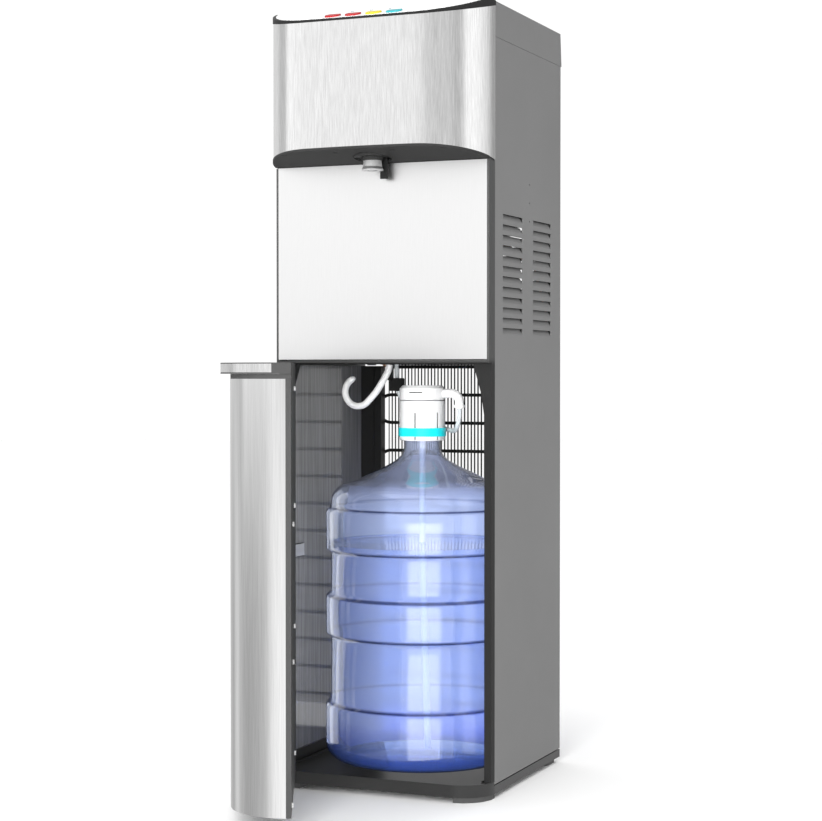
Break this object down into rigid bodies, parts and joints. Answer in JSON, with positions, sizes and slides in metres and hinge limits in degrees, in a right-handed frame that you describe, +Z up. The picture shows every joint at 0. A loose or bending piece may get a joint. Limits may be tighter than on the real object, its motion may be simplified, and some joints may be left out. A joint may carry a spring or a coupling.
{
  "type": "water cooler",
  "caption": "Floor-standing bottom-loading water cooler with a hinged door, a large bottle with its probe inside, push buttons, a dispensing alcove and a removable drip tray.",
  "frame": {"origin": "on the floor, below the middle of the dispensing alcove's panel", "axes": "+Z up, +Y towards the back of the cabinet, +X to the right of someone facing it"},
  "size_m": [0.3301, 0.5888, 1.0341],
  "materials": {
    "black_base": "fine satin",
    "black_iron": "gloss enamel",
    "black_paint": "semi-gloss",
    "black_plastic": "satin",
    "black_rubber": "matte",
    "blue_bottle": "clear, tinted blue",
    "brushed_panel": "bright, finely brushed",
    "brushed_steel": "vertical brushing",
    "clear_silicone": "clear, soft",
    "copper_tube": "bare tube",
    "cyan_band": "smooth",
    "dark_plastic": "fine satin grain",
    "dark_steel": "satin",
    "foot_rubber": "matte",
    "gloss_black": "glossy, reflective",
    "green_board": "coated board",
    "grey_foam": "moulded foam",
    "grey_paint": "satin powder coat",
    "grey_plastic": "satin",
    "ivory_plastic": "satin",
    "lamp_plastic": "clear",
    "plain_steel": "plain",
    "polished_nozzle": "polished",
    "red_button": "translucent gloss",
    "red_rocker": "gloss",
    "teal_button": "translucent gloss",
    "water": "clear water",
    "white_foam": "moulded foam",
    "white_plastic": "smooth gloss",
    "yellow_button": "translucent gloss",
    "zinc_sheet": "plain sheet"
  },
  "bodies": {
    "cabinet": {"base_pan": "black_base", "feet": "foot_rubber", "front_frame": "dark_plastic", "alcove_panel": "brushed_panel", "side_panel_left": "grey_paint", "side_panel_right": "grey_paint", "top_cover": "grey_plastic", "side_liners": "gloss_black", "rear_posts": "black_paint", "partition_shelf": "zinc_sheet", "rear_panel": "grey_paint", "condenser_tube": "black_paint", "condenser_wires": "black_paint", "compressor": "black_iron", "compressor_grommets": "black_rubber", "start_relay": "black_plastic", "refrigerant_lines": "copper_tube", "cold_tank": "plain_steel", "cold_tank_insulation": "white_foam", "hot_tank": "plain_steel", "hot_tank_jacket": "grey_foam", "water_pump": "black_plastic", "dispense_valves": "ivory_plastic", "water_lines": "clear_silicone", "control_board": "green_board", "head_shell": "brushed_steel", "head_underside": "dark_plastic", "panel_gasket": "black_plastic", "control_panel": "white_plastic", "indicator_lights": "lamp_plastic", "spout_body": "dark_plastic", "spout_nozzle": "polished_nozzle", "paddle_hinge": "plain_steel", "switch_housing": "black_plastic", "power_gland": "black_rubber", "drain_spigot": "white_plastic", "drain_cap": "grey_plastic", "bottle": "blue_bottle", "water": "water", "probe_cap": "white_plastic", "probe_band": "cyan_band", "probe_elbow": "white_plastic", "probe_straw": "white_plastic", "probe_hose": "clear_silicone", "probe_hook": "white_plastic", "hinge_brackets": "dark_steel"},
    "door": {"door_skin": "brushed_steel", "door_liner": "dark_plastic", "door_cap": "dark_plastic", "door_ledge": "dark_plastic", "ledge_trim": "brushed_steel", "liner_screws": "white_plastic"},
    "drip_tray": {"drip_tray": "dark_plastic", "drip_grille": "brushed_steel"},
    "button_hot": {"button_hot": "red_button"},
    "button_extra_hot": {"button_extra_hot": "red_button"},
    "button_room": {"button_room": "yellow_button"},
    "button_cold": {"button_cold": "teal_button"},
    "dispense_paddle": {"dispense_paddle": "black_plastic"},
    "heat_switch": {"heat_switch": "red_rocker"}
  },
  "joints": [
    {"name": "door_hinge", "type": "hinge", "parent": "cabinet", "child": "door", "pos_m": [-0.1429, -0.018, 0.286], "axis": [0, 0, 1], "range_deg": [-45, 64.65]},
    {"name": "drip_tray_lift", "type": "slide", "parent": "door", "child": "drip_tray", "axis": [0, 0, 1], "range_m": [0, 0.06]},
    {"name": "button_hot_press", "type": "slide", "parent": "cabinet", "child": "button_hot", "axis": [0, 0.3272, -0.9449], "range_m": [0, 0.0015], "stiffness_N_per_m": 600},
    {"name": "button_extra_hot_press", "type": "slide", "parent": "cabinet", "child": "button_extra_hot", "axis": [0, 0.3272, -0.9449], "range_m": [0, 0.0015], "stiffness_N_per_m": 600},
    {"name": "button_room_press", "type": "slide", "parent": "cabinet", "child": "button_room", "axis": [0, 0.3272, -0.9449], "range_m": [0, 0.0015], "stiffness_N_per_m": 600},
    {"name": "button_cold_press", "type": "slide", "parent": "cabinet", "child": "button_cold", "axis": [0, 0.3272, -0.9449], "range_m": [0, 0.0015], "stiffness_N_per_m": 600},
    {"name": "dispense_lever_pivot", "type": "hinge", "parent": "cabinet", "child": "dispense_paddle", "pos_m": [0.0101, -0.0095, 0.841], "axis": [1, 0, 0], "range_deg": [0, 8], "stiffness_Nm_per_rad": 0.02},
    {"name": "heat_switch_rock", "type": "hinge", "parent": "cabinet", "child": "heat_switch", "pos_m": [0, 0.279, 0.91], "axis": [1, 0, 0], "range_deg": [-18, 0]}
  ]
}
